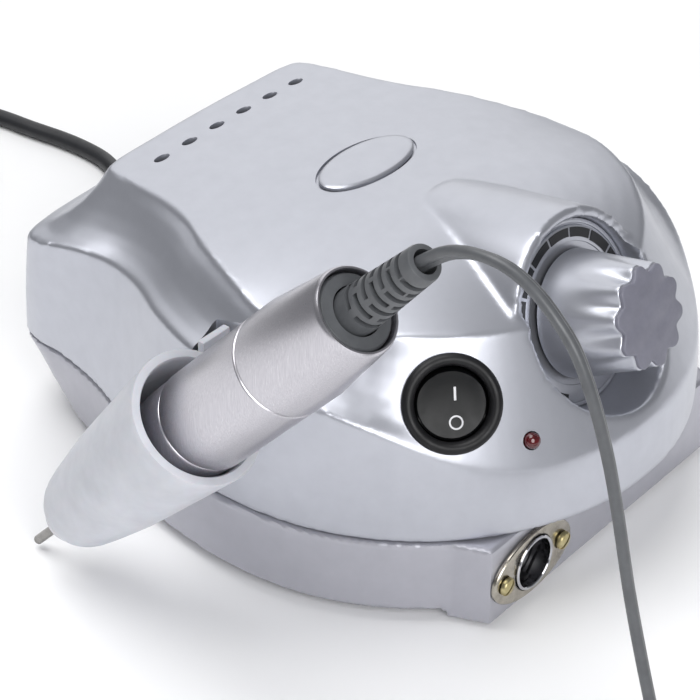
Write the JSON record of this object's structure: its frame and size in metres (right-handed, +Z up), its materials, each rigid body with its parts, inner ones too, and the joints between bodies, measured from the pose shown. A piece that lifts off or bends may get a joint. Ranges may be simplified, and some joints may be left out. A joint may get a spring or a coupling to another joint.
{
  "type": "electric nail drill",
  "caption": "Tabletop electric nail drill: domed silver control unit with speed knob and rocker switch, pen handpiece standing in a side holder cup, two cords.",
  "frame": {"origin": "on the table, under the centre of the box round the unit, holder and handpiece (cords left out)", "axes": "+Z up, -Y the front with the speed knob, -X the side with the handpiece holder"},
  "size_m": [0.1756, 0.4639, 0.1356],
  "materials": {
    "silver_paint": "satin silver metallic paint on moulded ABS",
    "base_paint": "satin silver-grey paint on moulded ABS",
    "cup_plastic": "translucent frosted grey-white plastic",
    "barrel_metal": "satin anodised silver",
    "chrome": "bright nickel plate",
    "steel": "turned steel",
    "transformer_steel": "varnished laminations",
    "copper": "enamelled copper wire",
    "brass": "plated brass",
    "black_plastic": "semi-gloss black moulding",
    "rubber": "matte black rubber",
    "mains_vinyl": "satin black PVC",
    "grey_vinyl": "grey PVC",
    "red_lens": "dark red clear lens",
    "circuit_board": "green solder mask",
    "knob_cap_grey": "satin mid grey"
  },
  "bodies": {
    "root": {"base_tray": "base_paint", "capacitor": "black_plastic", "case_screw_1": "steel", "case_screw_2": "steel", "case_screw_3": "steel", "case_screw_4": "steel", "circuit_board": "circuit_board", "dial_plate": "silver_paint", "din_flange": "chrome", "din_insulator": "black_plastic", "din_plug": "grey_vinyl", "din_screw_1": "brass", "din_screw_2": "brass", "din_shell": "chrome", "direction_switch": "black_plastic", "emblem_plate": "silver_paint", "foot_1": "rubber", "foot_2": "rubber", "foot_3": "rubber", "foot_4": "rubber", "fuse_cap": "black_plastic", "fuse_holder": "black_plastic", "handpiece_coil": "grey_vinyl", "heatsink": "steel", "holder_arm": "cup_plastic", "holder_cup": "cup_plastic", "holder_screw": "steel", "led_lens": "red_lens", "mains_coil": "mains_vinyl", "mains_cord": "mains_vinyl", "mains_gland": "mains_vinyl", "mains_plug": "mains_vinyl", "pedal_jack": "black_plastic", "pot_body": "black_plastic", "pot_nut": "steel", "scale_ring": "black_plastic", "switch_housing": "black_plastic", "top_shell": "silver_paint", "transformer_core": "transformer_steel", "transformer_winding": "copper"},
    "handpiece": {"barrel": "barrel_metal", "nose_cone": "barrel_metal", "bearing_1": "chrome", "bearing_2": "chrome", "motor_can": "steel", "rear_cap": "grey_vinyl", "strain_relief": "grey_vinyl", "handpiece_cord": "grey_vinyl"},
    "spindle": {"spindle": "steel", "collet": "steel", "bit": "steel", "motor_armature": "copper"},
    "twist_sleeve": {"twist_sleeve": "barrel_metal"},
    "speed_knob": {"speed_knob": "silver_paint", "knob_cap": "knob_cap_grey", "pot_shaft": "steel"},
    "power_rocker": {"rocker": "black_plastic"},
    "direction_rocker": {"direction_rocker": "black_plastic"}
  },
  "joints": [
    {"name": "handpiece_lift", "type": "slide", "parent": "root", "child": "handpiece", "axis": [0, -0.6794, 0.7337], "range_m": [0, 0.08]},
    {"name": "spindle_spin", "type": "hinge", "parent": "handpiece", "child": "spindle", "pos_m": [-0.07165, 0.02436, 0.0022], "axis": [0, -0.6794, 0.7337], "continuous": true},
    {"name": "twist_lock", "type": "hinge", "parent": "handpiece", "child": "twist_sleeve", "pos_m": [-0.07165, -0.01641, 0.04622], "axis": [0, -0.6794, 0.7337], "range_deg": [0, 70]},
    {"name": "speed_turn", "type": "hinge", "parent": "root", "child": "speed_knob", "pos_m": [0.01835, -0.06994, 0.061], "axis": [0, 0.9397, -0.342], "range_deg": [0, 280]},
    {"name": "power_rock", "type": "hinge", "parent": "root", "child": "power_rocker", "pos_m": [-0.02357, -0.06286, 0.05509], "axis": [-0.7071, 0.7071, 0], "range_deg": [0, 14.5]},
    {"name": "direction_rock", "type": "hinge", "parent": "root", "child": "direction_rocker", "pos_m": [-0.00365, 0.06389, 0.039], "axis": [1, 0, 0], "range_deg": [0, 10]}
  ]
}
